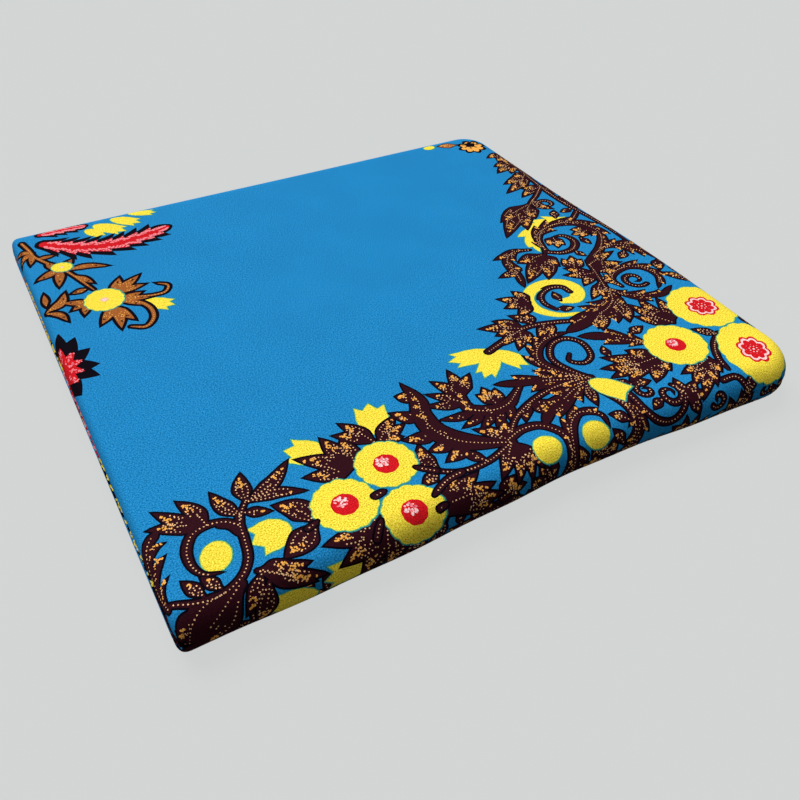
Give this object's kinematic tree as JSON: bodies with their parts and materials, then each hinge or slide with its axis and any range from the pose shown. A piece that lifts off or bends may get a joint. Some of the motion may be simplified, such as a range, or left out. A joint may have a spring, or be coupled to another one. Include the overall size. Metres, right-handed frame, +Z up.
{
  "type": "folded batik fabric",
  "caption": "Length of floral wax-print cotton folded flat into a neat rectangular bundle, the outer ply rolled over its front edge.",
  "frame": {"origin": "middle of the bundle's underside, on the surface it lies on", "axes": "+X along the front edge towards the rounded front corner, -Y out of the rolled front edge, +Z up out of the top panel"},
  "size_m": [0.292, 0.2743, 0.021],
  "materials": {
    "printed_cotton": "matte plain-weave cotton, blue ground with maroon, orange, yellow and red wax print",
    "layered_edges": "matte folds of the same printed cotton"
  },
  "bodies": {
    "root": {"outer_ply": "printed_cotton", "second_ply": "printed_cotton", "third_ply": "printed_cotton", "folded_core": "layered_edges"}
  },
  "joints": []
}
